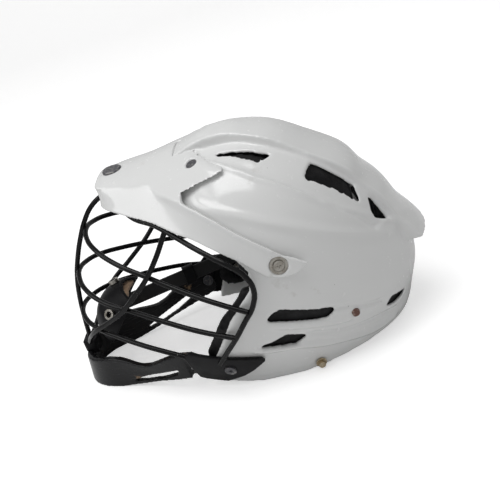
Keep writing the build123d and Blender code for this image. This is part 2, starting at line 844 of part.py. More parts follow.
guard_side = side_prism(side_points(guard_side_shares))
guard_solid = common(cut_from(guard_form(0), guard_form(guard_wall)), guard_side)
finish(make_chin_clip(), "chin_wire_clip")

# Liner pads: each is a layer inside the shell within an outline
temple_pad_shares = [
    (0.121, 0.511), (0.093, 0.630), (0.011, 0.689), (-0.066, 0.726), (-0.055, 0.749), (0.220, 0.740),
    (0.418, 0.653), (0.440, 0.511),
]
jaw_pad_shares = [
    (0.077, 0.493), (0.055, 0.457), (-0.071, 0.365), (-0.209, 0.192), (-0.220, 0.119), (-0.154, 0.078),
    (0.055, 0.064), (0.220, 0.073), (0.286, 0.155), (0.385, 0.164), (0.505, 0.274), (0.495, 0.329),
    (0.330, 0.402), (0.242, 0.420), (0.231, 0.475), (0.165, 0.493),
]
rear_side_pad_shares = [
    (0.648, 0.110), (0.824, 0.100), (0.863, 0.155), (0.857, 0.219), (0.648, 0.219),
]
brow_pad_shares = [
    (-0.341, 0.767), (-0.121, 0.749), (-0.121, 0.858), (-0.286, 0.858),
]
crown_side_pad_shares = [
    (0.274, -0.066), (0.377, -0.077), (0.623, 0.110), (0.660, 0.275), (0.585, 0.407), (0.340, 0.407),
    (0.292, 0.220),
]
crown_front_pad_shares = [
    (-0.208, -0.099), (0.208, -0.099), (0.245, 0.220), (0.245, 0.407), (-0.245, 0.407), (-0.245, 0.220),
]
crown_rear_pad_shares = [
    (-0.547, 0.440), (0.547, 0.440), (0.509, 0.582), (0.415, 0.676), (-0.415, 0.676), (-0.509, 0.582),
]
rear_pad_shares = [
    (-0.472, 0.329), (0.472, 0.329), (0.509, 0.484), (-0.509, 0.484),
]
brow_pad_half_width = 58.0


def pad(name, block, skin):
    """A pad: a liner layer within a block, with room left round the nuts and the strap posts."""
    with BuildPart() as body:
        add(skin)
        add(block, mode=Mode.INTERSECT)
        for room in pad_rooms:
            add(room, mode=Mode.SUBTRACT)
    finish(body.part, name)


thin_pad_depth = 9.0
pad_top = -shell_wall - pad_gap
liner_skin = layer(pad_top, pad_top - pad_depth)
thin_liner_skin = layer(pad_top, pad_top - thin_pad_depth)
rear_side_skin = layer(pad_top, pad_top - rear_side_pad_depth)
post_radius = 5.0
pad_rooms = [
    plug(plane, nut_radius + 3 * clearance, -hole_reach, hole_reach) for plane in nut_seats
]
post_room = post_radius + 3 * clearance
pad_rooms += [x_rod(post_room, side, half_width / 2, half_width, strap_pin_shares) for side in sides]
pad_rooms += [plug(plane, rivet_radius + 3 * clearance, -hole_reach, 0) for plane in plate_seats]

for side, word in ((1, "left"), (-1, "right")):
    low, high = (0, 2 * half_width) if side > 0 else (-2 * half_width, 0)
    pad(f"temple_pad_{word}", side_prism(side_points(temple_pad_shares), low, high), thin_liner_skin)
    pad(f"jaw_pad_{word}", side_prism(side_points(jaw_pad_shares), low, high), thin_liner_skin)
    crown_side = plan_points(crown_side_pad_shares)
    crown_side = crown_side if side > 0 else mirrored(crown_side)
    pad(f"rear_side_pad_{word}", side_prism(side_points(rear_side_pad_shares), low, high), rear_side_skin)
    pad(f"crown_side_pad_{word}", plan_prism(crown_side, full_height * 3 / 4, full_height), liner_skin)
brow_block = side_prism(side_points(brow_pad_shares), -brow_pad_half_width, brow_pad_half_width)
front_block = plan_prism(plan_points(crown_front_pad_shares), full_height * 3 / 4, full_height)
rear_block = plan_prism(plan_points(crown_rear_pad_shares), full_height / 2, full_height)
pad("brow_pad", brow_block, liner_skin)
pad("crown_front_pad", front_block, liner_skin)
pad("crown_rear_pad", rear_block, liner_skin)
pad("rear_pad", rear_prism([(x * half_width, z * full_height) for x, z in rear_pad_shares]), liner_skin)

# Nape cradle on its two pins


def cradle_band(outer, low, height, wall, tail):
    """Half an elliptical band behind the pins, with straight ends ahead of them."""
    reach = cradle_reach - (cradle_half_width - outer)
    front = cradle_y - tail
    with BuildPart() as band:
        with BuildSketch(Plane.XY.offset(low)):
            with BuildLine():
                rear = EllipticalCenterArc((0, cradle_y), outer, reach, start_angle=0, arc_size=180)
                Polyline(rear @ 1, (-outer, front), (-outer + wall, front), (-outer + wall, cradle_y))
                EllipticalCenterArc((0, cradle_y), outer - wall, reach - wall, start_angle=180, arc_size=-180)
                Polyline((outer - wall, cradle_y), (outer - wall, front), (outer, front), rear @ 0)
            make_face()
        extrude(amount=height)
    return band.part


def make_cradle():
    """Plastic band across the nape that tilts on the pins."""
    low = cradle_z - cradle_height / 2
    with BuildPart() as band:
        add(cradle_band(cradle_half_width, low, cradle_height, cradle_wall, cradle_tail))
        for side in sides:
            add(x_rod(rivet_radius + pin_gap, side, 0, half_width, cradle_pin_shares), mode=Mode.SUBTRACT)
    return band.part


def make_nape_pad():
    """Foam on the inner face of the band."""
    low = cradle_z - cradle_height / 2
    start = cradle_y + cradle_reach * 2 / 5
    with BuildPart() as foam:
        outer = cradle_half_width - cradle_wall - clearance
        add(cradle_band(outer, low, cradle_height, cradle_pad_depth, cradle_tail))
        add(rear_half(start), mode=Mode.INTERSECT)
    return foam.part


def make_pins():
    """Rivets through the shell that the cradle turns on."""
    inside = cradle_half_width - cradle_wall - 3 * clearance
    with BuildPart() as group:
        for side in sides:
            add(x_rod(rivet_radius, side, inside - pin_flange_height, cradle_head_x, cradle_pin_shares))
            head_top = cradle_head_x + pin_head_height
            add(x_rod(pin_head_radius, side, cradle_head_x, head_top, cradle_pin_shares))
            add(x_rod(pin_head_radius, side, inside - pin_flange_height, inside, cradle_pin_shares))
    return group.part


def make_spacers():
    """Collars on the pins between the shell and the cradle."""
    with BuildPart() as group:
        for side in sides:
            inner_end, outer_end = cradle_half_width + clearance, cradle_inner_wall + shell_wall / 2
            add(x_rod(spacer_radius, side, inner_end, outer_end, cradle_pin_shares))
        for side in sides:
            bore = x_rod(rivet_radius + thread_gap, side, cradle_half_width, half_width, cradle_pin_shares)
            add(bore, mode=Mode.SUBTRACT)
        add(egg_spacer, mode=Mode.INTERSECT)
    return group.part


egg_spacer = egg(ring_shares, dome_height, -shell_wall - clearance)
finish(make_cradle(), "nape_cradle")
finish(make_nape_pad(), "nape_pad")
finish(make_pins(), "cradle_pins")
finish(make_spacers(), "cradle_spacers")


def make_studs():
    """Snap studs on the shell's lower rim, for the rear straps."""
    with BuildPart() as group:
        for plane in stud_seats:
            for radius, bottom, top in (
                (rivet_radius, -clearance - shell_wall, 0),
                (stud_base_radius, 0, stud_base_height),
                (stud_radius, 0, stud_base_height + stud_neck_length),
                (stud_cap_radius, stud_base_height + stud_neck_length,
                 stud_base_height + stud_neck_length + stud_cap_height),
            ):
                with BuildSketch(plane.offset(bottom)):
                    Circle(radius)
                extrude(amount=top - bottom)
    return group.part


finish(make_studs(), "strap_snap_studs")

# Chin strap: a cup, its lining and its webbing, which swing together on a post in the shell's right side
cup_centre_shares = (0, -0.648, 0.251)
cup_tilt_shares = (0, -1, 0.868)
strap_tab_x = strap_inner_wall - strap_post_length
cup_centre = Vector(*spots([cup_centre_shares])[0])
cup_plane = Plane(origin=cup_centre, x_dir=(1, 0, 0), z_dir=cup_tilt_shares)


def cup_part(outer, inner, half_height, offset):
    """A slice of a ball's skin that opens towards the chin."""
    with BuildPart() as part:
        with Locations(cup_centre):
            Sphere(outer)
            Sphere(inner, mode=Mode.SUBTRACT)
        with BuildSketch(cup_plane.offset(offset)):
            RectangleRounded(3 * outer, 2 * half_height, cup_corner)
        extrude(amount=2 * outer, mode=Mode.INTERSECT)
    return part.part


finish(cup_part(cup_radius, cup_radius - cup_wall, cup_half_height, cup_rim_offset), "chin_cup")
lining_outer = cup_radius - cup_wall - clearance
lining_inner = lining_outer - lining_depth
lining_half_height = cup_half_height - cup_wall
finish(cup_part(lining_outer, lining_inner, lining_half_height, cup_rim_offset + cup_wall), "chin_cup_lining")

# In plan, the webbing leaves its tab, runs along a tangent to the cup and wraps round the cup
bend_y = strap_y - strap_width / 2
run_radius = cup_radius + clearance + strap_wall / 2
to_tab = (strap_tab_x - cup_centre.X, bend_y - cup_centre.Y)
run_length = sqrt(to_tab[0] ** 2 + to_tab[1] ** 2 - run_radius ** 2)
tangent_angle = atan2(to_tab[1], to_tab[0]) - acos(run_radius / hypot(*to_tab))
outward = Vector(cos(tangent_angle), sin(tangent_angle), 0)
along = Vector(-outward.Y, outward.X, 0)
tangent_spot = Vector(cup_centre.X, cup_centre.Y, strap_z) + outward * run_radius


def plan_point(distance, rise):
    """A plan point at a distance along the webbing's straight run and a rise out from its middle."""
    spot = tangent_spot + along * distance + outward * rise
    return spot.X, spot.Y


def make_webbing():
    """Webbing from the cup's side to a tab on its post."""
    inner, outer = run_radius - strap_wall / 2, run_radius + strap_wall / 2
    middle = (cup_centre.X, cup_centre.Y)
    turn = degrees(tangent_angle)
    with BuildPart() as webbing:
        with BuildSketch(Plane.XY.offset(strap_z - strap_width / 2)):
            with BuildLine():
                inner_wrap = CenterArc(middle, inner, turn, -strap_wrap_degrees)
                outer_wrap = CenterArc(middle, outer, turn, -strap_wrap_degrees)
                Line(inner_wrap @ 1, outer_wrap @ 1)
                inner_end, outer_end = plan_point(run_length, -strap_wall / 2), plan_point(run_length, strap_wall / 2)
                Polyline(inner_wrap @ 0, inner_end, outer_end, outer_wrap @ 0)
            make_face()
        extrude(amount=strap_width)
        tab = Plane(origin=(strap_tab_x - strap_wall / 2, strap_y, strap_z), x_dir=(0, 1, 0), z_dir=(1, 0, 0))
        with BuildSketch(tab):
            RectangleRounded(strap_tab_length, strap_tab_height, strap_width / 4)
        extrude(amount=strap_wall)
        add(x_rod(rivet_radius + pin_gap, 1, 0, half_width, strap_pin_shares), mode=Mode.SUBTRACT)
    return webbing.part


def make_posts():
    """Posts on the shell's inside that carry strap tabs."""
    tab_outer = strap_tab_x + strap_wall / 2 + clearance
    tab_inner = strap_tab_x - strap_wall / 2 - clearance
    wall_plane = strap_inner_wall - clearance
    with BuildPart() as group:
        for side in sides:
            add(x_rod(post_radius, side, tab_outer, wall_plane, strap_pin_shares))
            add(x_rod(rivet_radius, side, tab_inner, tab_outer, strap_pin_shares))
            add(x_rod(pin_head_radius, side, tab_inner - pin_flange_height, tab_inner, strap_pin_shares))
        add(egg_spacer, mode=Mode.INTERSECT)
    return group.part


def make_slider():
    """Buckle that slides along the webbing."""
    outer_width = strap_width + 2 * clearance + 2 * slider_wall
    outer_depth = strap_wall + 2 * clearance + 2 * slider_wall
    across = Plane(origin=tangent_spot + along * (run_length / 2), x_dir=outward, z_dir=along)
    with BuildPart() as buckle:
        with BuildSketch(across):
            RectangleRounded(outer_depth, outer_width, slider_wall)
            Rectangle(strap_wall + 2 * clearance, strap_width + 2 * clearance, mode=Mode.SUBTRACT)
        extrude(amount=slider_length)
    return buckle.part


def cup_snap_plane(shares):
    """A plane on the cup's outer face in the direction of a spot, its z outwards."""
    away = (Vector(*spots([shares])[0]) - cup_centre).normalized()
    return Plane(origin=cup_centre + away * (cup_radius + clearance), x_dir=(0, 0, 1), z_dir=away)


snap_shares = [
    (0.264, -0.709, 0.342), (-0.057, -0.692, 0.411),
]
snap_planes = [cup_snap_plane(shares) for shares in snap_shares]
finish(mirror(make_webbing(), about=Plane.YZ), "chin_strap_webbing")
finish(mirror(make_slider(), about=Plane.YZ), "strap_slider")
finish(rings(snap_planes, snap_radius, stud_cap_radius, snap_height), "cup_snaps")
finish(make_posts(), "strap_posts")
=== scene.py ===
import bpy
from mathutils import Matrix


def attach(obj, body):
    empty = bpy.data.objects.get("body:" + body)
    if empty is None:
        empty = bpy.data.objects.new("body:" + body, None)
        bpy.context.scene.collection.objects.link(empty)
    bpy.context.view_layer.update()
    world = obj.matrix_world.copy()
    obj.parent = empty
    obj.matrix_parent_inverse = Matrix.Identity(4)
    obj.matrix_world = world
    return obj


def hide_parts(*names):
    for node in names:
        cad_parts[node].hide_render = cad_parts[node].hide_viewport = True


bl_info = {
    "name": "Lacrosse Helmet",
    "version": (1, 0, 0),
    "blender": (4, 5, 0),
    "location": "View3D > Sidebar > Helmet",
    "description": "Dresses a lacrosse helmet's solids with finished shapes and materials",
    "category": "Object",
}

from math import cos, pi, sin

import bmesh
import bpy
import numpy as np
from mathutils import Matrix, Vector
from mathutils.kdtree import KDTree

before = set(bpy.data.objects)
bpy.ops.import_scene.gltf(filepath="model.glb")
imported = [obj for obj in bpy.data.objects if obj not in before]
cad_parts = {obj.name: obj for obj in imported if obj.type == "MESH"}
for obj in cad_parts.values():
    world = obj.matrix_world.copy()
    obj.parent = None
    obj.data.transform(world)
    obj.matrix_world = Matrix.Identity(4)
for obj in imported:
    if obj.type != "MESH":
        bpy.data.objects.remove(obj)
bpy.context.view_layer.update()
MM = 0.001

# Where the camera stands, as seen from the helmet's own frame
CAMERA_PLACE = (0.70065, 0.14851, 0.46086)
CAMERA_RIGHT = (-0.0307, 0.9556, -0.2930)
CAMERA_UP = (-0.4624, 0.2463, 0.8518)
CAMERA_BACK = (0.8862, 0.1617, 0.4343)
CAMERA_LENS = 60.56
CAMERA_SHIFT = (0.0048, -0.0501)

# Mask wires in millimetres, each from the centre line out to the wearer's left
PERIMETER_WIRE = [
    (0, -84, 190), (24, -80.5, 187), (44, -68, 175.5), (60, -46, 168.5), (78, -26, 160), (90, -14, 155),
    (102, 3, 145.5), (107.5, 14, 138.5), (110, 24, 128), (111, 28, 114), (110.8, 23, 98), (109.8, 11, 83),
    (107.2, -1, 68), (102.5, -12, 55), (95, -26.5, 37),
]
CENTRE_BAR = [
    (0, -82, 192.5), (0, -100, 185), (0, -114, 177), (0, -125.5, 165), (0, -137, 148), (0, -147.5, 129),
    (0, -156, 110), (0, -163, 86), (0, -167.5, 62), (0, -171, 38),
]
SIDE_BARS = [
    (0, -170, 38), (15, -166, 43), (31, -156, 57), (45, -143, 70.5), (57, -121, 84), (66.5, -100, 98),
    (71.5, -84, 112), (74, -68, 126), (73, -52, 144), (68, -37, 164.5),
]
UPPER_CROSSBAR = [
    (0, -127, 157), (18, -124, 154.5), (36, -114, 149), (54, -95, 139.5), (70, -66, 126), (87, -34, 111.5),
    (102, -5, 101), (111.6, 17.5, 93),
]
MIDDLE_CROSSBAR = [
    (0, -150.2, 117), (18, -147, 115), (35, -138.5, 110.5), (52, -121, 103), (66, -94, 94.5), (80, -64, 84),
    (93, -35, 75), (107.3, -1.5, 68),
]
LOWER_CROSSBAR = [
    (0, -162.2, 77), (22, -156.5, 75), (42, -140, 71), (57, -118, 65), (70, -94, 58), (79, -73, 51.5),
    (84, -57, 45.5),
]

# Lines raised on the skin's left side and mirrored to the right, each with its points, its height,
# which is below zero where the line is pressed in, and its half width, all in millimetres
SHELL_LINES = [
    ([(31, 0, 207), (42, 14, 205), (56, 34, 199), (64, 53, 189), (68, 72, 177), (68, 90, 163), (65, 109, 147),
      (60, 121, 136), (52, 134, 123), (39, 147, 107), (18, 161, 89)], 1.8, 3.4),
    ([(62, -7, 191), (73, -1, 183), (82, 13, 177), (88, 33, 170), (90, 52, 160), (88, 71, 149), (85, 90, 137),
      (77, 109, 124), (63, 130, 110), (35, 155, 91)], 1.6, 5.0),
    ([(97, 73, 70), (91, 86, 64), (86, 98, 60), (76, 113, 51), (65, 128, 45)], -2.2, 2.0),
    ([(96, 57, 48), (90, 71, 42), (82, 88, 35), (73, 106, 31), (61, 124, 27), (44, 138, 20)], -2.2, 2.0),
    ([(103, 28, 69), (100, 49, 62), (95, 69, 55), (88, 86, 49), (81, 102, 46)], 2.4, 3.4),
    ([(96, 2, 45), (96, 22, 41), (95, 44, 39), (88, 64, 30), (79, 85, 24), (72, 100, 19), (62, 114, 15),
      (53, 126, 15), (42, 137, 15)], 2.6, 3.4),
]
VISOR_LINES = [
    ([(24, -55, 190), (38, -43, 190), (59, -27, 191), (73, -14, 188), (85, 0, 182), (93, 12, 174),
      (101, 30, 159), (104, 48, 144), (105, 59, 134)], 2.0, 3.6),
]
SHELL_MIDDLE = (0, 24, 90)

# How far such a line reaches in half widths, how its corners are cut, and how far the skin has to
# face outwards before it moves, then moves in full
LINE_REACH = 3
CORNER_CUT = 0.25
OUTER_FACING = (0.05, 0.5)

# The dip in the chin guard's top lip, in millimetres: its depth, its place and reach from front to
# back, and where it fades in from the middle outwards and from the floor upwards
GUARD_DIP = 9.0
GUARD_DIP_PLACE = -108.0
GUARD_DIP_REACH = 22.0
GUARD_DIP_SIDE = (25, 50)
GUARD_DIP_HEIGHT = (16, 40)

# How far the jaw pads swell, in millimetres, and how soon a slanted face swells in full
PAD_SWELL = 3.5
FACING_GAIN = 1.6

# The visor's rear edge, pushed against the crest, in millimetres
SEAM_HALF_WIDTH = 17.5
SEAM_REACH = (-27, -22.5)
SEAM_PUSH = 1.5

# How a skin is smoothed. Within RIM_KEEP's first gap from a rim it is kept, beyond the second it is
# free, and VISOR_FRONT is where the visor's front ends, all in millimetres. SAME_CORNER and RIM_STEP
# are in metres, the angles in radians, and VISOR_FINENESS is a share of the shell's mesh size.
SAME_CORNER = 1e-6
SMOOTHING_SHARE = 0.5
RELAXING_SHARES = (0.5, -0.53)
RIM_STEP = 0.001
RIM_KEEP = (1.5, 5.5)
LEAST_SHARE = 0.01
SHELL_RIM_ANGLE = 0.6
VISOR_RIM_ANGLE = 1.0
VISOR_FRONT = (-58, -22)
VISOR_FINENESS = 0.6

# Mesh sizes of the smaller mouldings, in metres
GUARD_VOXEL = 0.0011
CLIP_VOXEL = 0.0007
BAND_VOXEL = 0.001
SMALL_PAD_VOXEL = 0.002
CUP_VOXEL = 0.0009
STRAP_VOXEL = 0.0006

# The stage, in metres: how far the floor reaches, where it bends up and how high the backdrop stands.
# Then the strengths of floor and sky, and each lamp's name, place, width and power in watts.
FLOOR_REACH = 3.0
FLOOR_BACK = -1.6
FLOOR_BEND = 0.6
FLOOR_BEND_STEPS = 12
BACKDROP_HEIGHT = 3.0
FLOOR_GLOW = 0.5
SKY_LIGHT = 0.28
SKY_SEEN = 0.95
LAMPS = (
    ("key", (0.5, -1.5, 1.7), 1.4, 15),
    ("top", (0.1, 0.0, 2.0), 1.2, 16),
    ("fill", (1.8, 0.6, 0.9), 1.6, 2),
)
LAMP_AIM = (0, 0, 0.1)


# Materials


class Finish:
    """A procedural material in the making: nodes by kind, joined by name."""

    def __init__(self, name, colour, roughness, metallic=0.0):
        self.material = bpy.data.materials.new(name)
        self.material.use_nodes = True
        self.tree = self.material.node_tree
        self.shader = self.tree.nodes["Principled BSDF"]
        self.shader.inputs["Base Color"].default_value = (*colour, 1)
        self.shader.inputs["Roughness"].default_value = roughness
        self.shader.inputs["Metallic"].default_value = metallic
        self.place = self.node("ShaderNodeTexCoord").outputs["Object"]

    def node(self, kind, **settings):
        made = self.tree.nodes.new(kind)
        for key, value in settings.items():
            setattr(made, key, value)
        return made

    def join(self, source, target):
        self.tree.links.new(source, target)

    def noise(self, scale, detail=3.0, roughness=0.5, place=None):
        made = self.node("ShaderNodeTexNoise")
        made.inputs["Scale"].default_value = scale
        made.inputs["Detail"].default_value = detail
        made.inputs["Roughness"].default_value = roughness
        self.join(place or self.place, made.inputs["Vector"])
        return made.outputs["Fac"]

    def stretched(self, scale):
        made = self.node("ShaderNodeMapping")
        made.inputs["Scale"].default_value = scale
        self.join(self.place, made.inputs["Vector"])
        return made.outputs["Vector"]

    def ramp(self, source, *stops):
        made = self.node("ShaderNodeValToRGB")
        elements = made.color_ramp.elements
        while len(elements) < len(stops):
            elements.new(0.5)
        for element, (place, colour) in zip(elements, stops):
            element.position = place
            element.color = (*colour, 1)
        self.join(source, made.inputs["Fac"])
        return made.outputs["Color"]

    def grey(self, source, *stops):
        return self.ramp(source, *[(place, (value, value, value)) for place, value in stops])

    def over(self, mask, base, top):
        made = self.node("ShaderNodeMix", data_type="RGBA")
        self.join(mask, made.inputs["Factor"])
        for value, socket in ((base, made.inputs["A"]), (top, made.inputs["B"])):
            if isinstance(value, tuple):
                socket.default_value = (*value, 1)
            else:
                self.join(value, socket)
        return made.outputs["Result"]

    def times(self, one, other):
        made = self.node("ShaderNodeMath", operation="MULTIPLY")
        for value, socket in ((one, made.inputs[0]), (other, made.inputs[1])):
            if isinstance(value, (int, float)):
                socket.default_value = value
            else:
                self.join(value, socket)
        return made.outputs[0]

    def colour(self, source):
        self.join(source, self.shader.inputs["Base Color"])

    def roughness(self, source):
        self.join(source, self.shader.inputs["Roughness"])

    def bump(self, source, depth):
        made = self.node("ShaderNodeBump")
        made.inputs["Strength"].default_value = 1.0
        made.inputs["Distance"].default_value = depth
        self.join(source, made.inputs["Height"])
        normal = self.shader.inputs["Normal"]
        if normal.links:
            self.join(normal.links[0].from_socket, made.inputs["Normal"])
        self.join(made.outputs["Normal"], normal)


def white_shell_plastic(colour):
    """Polished white plastic with hairline scratches and a few grey rub marks."""
    finish = Finish("White shell plastic", colour, 0.2)
    finish.shader.inputs["Coat Weight"].default_value = 0.35
    finish.shader.inputs["Coat Roughness"].default_value = 0.12
    tone = finish.grey(finish.noise(9.0, 4.0), (0.35, 0.0), (0.75, 1.0))
    pale = tuple(channel * 0.965 for channel in colour)
    base = finish.over(tone, colour, pale)
    rubs = finish.grey(finish.noise(34.0, 6.0, 0.65), (0.66, 0.0), (0.76, 0.55))
    base = finish.over(rubs, base, (0.60, 0.59, 0.56))
    specks = finish.grey(finish.noise(310.0, 2.0), (0.79, 0.0), (0.81, 0.8))
    base = finish.over(specks, base, (0.25, 0.24, 0.22))
    finish.colour(base)
    hairlines = finish.noise(160.0, 4.0, 0.6)
    finish.roughness(finish.grey(hairlines, (0.45, 0.13), (0.62, 0.24), (0.8, 0.38)))
    finish.bump(finish.noise(14.0, 1.0), 0.0003)
    return finish.material


def black_wire_coating(colour):
    """Thick glossy black coating with a fine orange-peel skin and bright nicks."""
    finish = Finish("Black wire coating", colour, 0.22)
    finish.shader.inputs["Specular IOR Level"].default_value = 0.16
    finish.shader.inputs["Coat Weight"].default_value = 0.1
    finish.shader.inputs["Coat Roughness"].default_value = 0.06
    nicks = finish.grey(finish.noise(260.0, 4.0, 0.7), (0.69, 0.0), (0.72, 1.0))
    finish.colour(finish.over(nicks, colour, (0.33, 0.33, 0.32)))
    finish.roughness(finish.grey(finish.noise(120.0), (0.3, 0.16), (0.8, 0.38)))
    finish.bump(finish.noise(700.0, 2.0), 0.00006)
    return finish.material


def black_guard_plastic(colour, wear):
    """Semi-gloss moulded black plastic with long scratches and rubbed brown patches."""
    finish = Finish("Black guard plastic", colour, 0.2)
    finish.shader.inputs["Specular IOR Level"].default_value = 0.2
    finish.shader.inputs["Coat Weight"].default_value = 0.15
    finish.shader.inputs["Coat Roughness"].default_value = 0.08
    scratches = finish.noise(1.0, 5.0, 0.7, finish.stretched((90, 60, 520)))
    base = finish.over(finish.grey(scratches, (0.6, 0.0), (0.75, 0.5)), colour, (0.10, 0.10, 0.105))
    rubbed = finish.grey(finish.noise(45.0, 5.0, 0.65), (0.64, 0.0), (0.72, 1.0))
    finish.colour(finish.over(finish.times(rubbed, wear), base, (0.33, 0.22, 0.13)))
    finish.roughness(finish.grey(scratches, (0.3, 0.14), (0.75, 0.36)))
    finish.bump(scratches, 0.00008)
    return finish.material


def black_moulded_plastic(colour):
    """Fine-grained black plastic for brackets, clips and buckles."""
    finish = Finish("Black moulded plastic", colour, 0.4)
    finish.shader.inputs["Specular IOR Level"].default_value = 0.12
    grain = finish.noise(900.0, 2.0)
    finish.roughness(finish.grey(finish.noise(60.0, 4.0), (0.3, 0.3), (0.75, 0.55)))
    dust = finish.grey(finish.noise(75.0, 5.0, 0.7), (0.6, 0.0), (0.8, 0.3))
    finish.colour(finish.over(dust, colour, (0.05, 0.048, 0.045)))
    finish.bump(grain, 0.00006)
    return finish.material


def plated_metal(name, colour, roughness, tarnish):
    """Plated metal, uneven and a little tarnished."""
    finish = Finish(name, colour, roughness, 1.0)
    patches = finish.grey(finish.noise(220.0, 4.0, 0.6), (0.45, 0.0), (0.75, 1.0))
    finish.colour(finish.over(patches, colour, tarnish))
    finish.roughness(finish.grey(finish.noise(340.0, 3.0), (0.3, roughness * 0.8), (0.8, roughness * 1.5)))
    finish.bump(finish.noise(520.0), 0.00004)
    return finish.material


def painted_rivet(name, colour, rubbed):
    """Painted or blackened rivet head with its rim rubbed."""
    finish = Finish(name, colour, 0.38, 0.35)
    patches = finish.grey(finish.noise(380.0, 4.0, 0.65), (0.5, 0.0), (0.68, 1.0))
    finish.colour(finish.over(patches, colour, rubbed))
    finish.bump(finish.noise(600.0), 0.00006)
    return finish.material


def vinyl_foam(colour):
    """Black vinyl over foam: pebbled, creased and slightly shiny, with painted shade in its creases."""
    finish = Finish("Black vinyl foam", colour, 0.42)
    finish.shader.inputs["Specular IOR Level"].default_value = 0.12
    cells = finish.node("ShaderNodeTexVoronoi")
    cells.inputs["Scale"].default_value = 650.0
    finish.join(finish.place, cells.inputs["Vector"])
    finish.bump(cells.outputs["Distance"], 0.00012)
    creases = finish.noise(70.0, 5.0, 0.6)
    finish.bump(creases, 0.0008)
    finish.roughness(finish.grey(creases, (0.3, 0.32), (0.8, 0.55)))
    # Painted shade: the colour follows the crease bump, darker in the crease hollows and lighter on their
    # crowns.
    finish.colour(finish.over(finish.grey(creases, (0.4, 0.0), (0.8, 1.0)), colour, (0.03, 0.03, 0.031)))
    return finish.material


def suede_lining(colour):
    """Tan brushed lining with darker worn patches."""
    finish = Finish("Tan lining", colour, 0.85)
    finish.shader.inputs["Sheen Weight"].default_value = 0.3
    worn = finish.grey(finish.noise(90.0, 5.0, 0.65), (0.42, 0.0), (0.68, 1.0))
    finish.colour(finish.over(worn, colour, (0.24, 0.15, 0.09)))
    finish.bump(finish.noise(1400.0, 3.0), 0.0002)
    return finish.material


def webbing_weave(colour):
    """Black webbing: ribs along its length crossed by fine picks, with painted highlight on the raised weave
    and painted shade between its threads.
    """
    finish = Finish("Black webbing", colour, 0.75)
    finish.shader.inputs["Sheen Weight"].default_value = 0.25
    flat = finish.node("ShaderNodeUVMap").outputs["UV"]
    heights = []
    for direction, scale in (("X", 420.0), ("Y", 260.0)):
        wave = finish.node("ShaderNodeTexWave", bands_direction=direction)
        wave.inputs["Scale"].default_value = scale
        finish.join(flat, wave.inputs["Vector"])
        heights.append(wave.outputs["Fac"])
    weave = finish.times(*heights)
    finish.bump(weave, 0.0003)
    # Painted highlight and shade: the colour follows the weave bump, lighter where the weave is raised and
    # darker between its ribs and picks.
    finish.colour(finish.over(weave, colour, (0.075, 0.075, 0.08)))
    return finish.material


# Shape helpers


def new_piece(name, mesh, node, body, material):
    """An object that stands for a CAD node, rides on a body and has one material."""
    piece = bpy.data.objects.new(name, mesh)
    bpy.context.scene.collection.objects.link(piece)
    piece.data.materials.clear()
    piece.data.materials.append(material)
    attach(piece, body)
    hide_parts(node)
    return piece


def applied(piece):
    """Turns a piece's modifiers into its mesh."""
    bpy.context.view_layer.update()
    graph = bpy.context.evaluated_depsgraph_get()
    mesh = bpy.data.meshes.new_from_object(piece.evaluated_get(graph))
    piece.modifiers.clear()
    old = piece.data
    piece.data = mesh
    bpy.data.meshes.remove(old)


def joined_form(node):
    """A solid's surface, open for editing, with its doubled corners joined."""
    form = bmesh.new()
    form.from_mesh(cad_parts[node].data)
    bmesh.ops.remove_doubles(form, verts=form.verts, dist=SAME_CORNER)
    return form


def solid_copy(node):
    """A closed copy of a solid's surface."""
    form = joined_form(node)
    mesh = bpy.data.meshes.new(node + "_form")
    form.to_mesh(mesh)
    form.free()
    return mesh


def smoothing(piece, name, rounds):
    """Adds a modifier that smooths a piece a number of times over."""
    smooth = piece.modifiers.new(name, "SMOOTH")
    smooth.factor = SMOOTHING_SHARE
    smooth.iterations = rounds
    return smooth


def moulded(name, node, body, material, voxel, rounds):
    """A solid with its edges rounded as a mould leaves them."""
    piece = new_piece(name, solid_copy(node), node, body, material)
    remesh = piece.modifiers.new("Even skin", "REMESH")
    remesh.mode = "VOXEL"
    remesh.voxel_size = voxel
    smoothing(piece, "Soft edges", rounds)
    applied(piece)
    shade_smooth(piece)
    return piece


def skin_arrays(piece):
    """Places in millimetres and normals of a piece's points."""
    mesh = piece.data
    count = len(mesh.vertices)
    places, normals = np.empty(count * 3), np.empty(count * 3)
    mesh.vertices.foreach_get("co", places)
    mesh.vertex_normals.foreach_get("vector", normals)
    return places.reshape(count, 3) / MM, normals.reshape(count, 3)


def moved(piece, places):
    """Puts a piece's points at places in millimetres."""
    piece.data.vertices.foreach_set("co", (places * MM).ravel())
    piece.data.update()


def relaxed(piece, passes):
    """Evens out the ripples in a piece's skin and leaves its size."""
    mesh = piece.data
    ends = np.empty(len(mesh.edges) * 2, dtype=np.int32)
    mesh.edges.foreach_get("vertices", ends)
    here = np.concatenate((ends[0::2], ends[1::2]))
    there = np.concatenate((ends[1::2], ends[0::2]))
    places = skin_arrays(piece)[0]
    ties = np.bincount(here, minlength=len(places))[:, None]
    for _ in range(passes):
        for share in RELAXING_SHARES:
            sums = [np.bincount(here, places[there, axis], len(places)) for axis in range(3)]
            places += share * (np.stack(sums, axis=1) / ties - places)
    moved(piece, places)


def ramp_down(values, start, end):
    """One below the start, none above the end and a smooth fall between."""
    share = np.clip((end - values) / (end - start), 0, 1)
    return share * share * (3 - 2 * share)


def rim_places(node, least_angle):
    """A search tree of places along a solid's sharp rims."""
    form = joined_form(node)
    spots = []
    for edge in form.edges:
        if len(edge.link_faces) == 2 and edge.calc_face_angle() > least_angle:
            one, two = (vert.co for vert in edge.verts)
            parts = int((two - one).length / RIM_STEP) + 1
            spots += [one.lerp(two, i / parts) for i in range(parts + 1)]
    form.free()
    tree = KDTree(len(spots))
    for i, spot in enumerate(spots):
        tree.insert(spot, i)
    tree.balance()
    return tree


